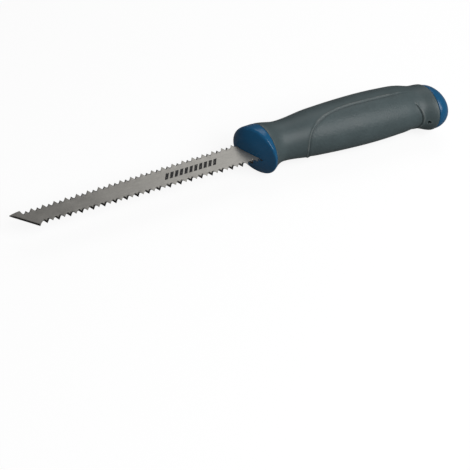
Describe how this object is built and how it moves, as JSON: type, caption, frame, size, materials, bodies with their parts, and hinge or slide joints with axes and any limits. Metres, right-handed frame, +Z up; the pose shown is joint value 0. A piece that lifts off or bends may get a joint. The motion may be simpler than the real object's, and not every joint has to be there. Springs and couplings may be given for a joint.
{
  "type": "drywall saw",
  "caption": "Hand saw for plasterboard: straight pointed steel blade toothed on both edges, moulded into a round two-colour handle with a flared guard and a hooked butt.",
  "frame": {"origin": "middle of the saw's underside as it lies on its side: the centre of its bounding box in X and Y, at the lowest point of the guard", "axes": "+X along the blade from its point to the butt of the handle, +Z up through the blade's flat faces, +Y towards the blade's edge that holds the sharp point"},
  "size_m": [0.312, 0.045, 0.0356],
  "materials": {
    "steel": "satin, with fine lengthwise grinding marks",
    "blue_plastic": "semi-gloss",
    "grey_rubber": "matt, finely stippled where the palm rests"
  },
  "bodies": {
    "root": {"blade": "steel", "handle_core": "blue_plastic", "butt_cap": "blue_plastic", "grip_sleeve": "grey_rubber"}
  },
  "joints": []
}
